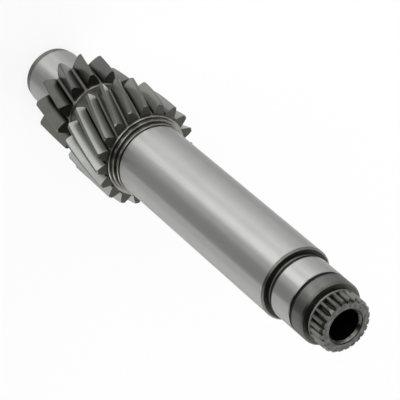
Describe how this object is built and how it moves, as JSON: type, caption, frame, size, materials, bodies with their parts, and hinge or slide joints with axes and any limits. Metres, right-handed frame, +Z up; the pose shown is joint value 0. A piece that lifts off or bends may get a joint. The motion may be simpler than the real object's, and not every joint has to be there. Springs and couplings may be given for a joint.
{
  "type": "countershaft",
  "caption": "Gearbox countershaft: plain shaft with two integral right-hand helical gears, bearing journals and a splined end with a bore.",
  "frame": {"origin": "centre of the short journal's flat end face, at the bottom", "axes": "+Z runs up the shaft's axis to the splined end; X and Y lie across it, and a gap of the spline faces near -Y"},
  "size_m": [0.1018, 0.1018, 0.4919],
  "materials": {
    "steel": "ground journals and seat, dark machined gears and spline"
  },
  "bodies": {
    "root": {"countershaft": "steel"}
  },
  "joints": []
}
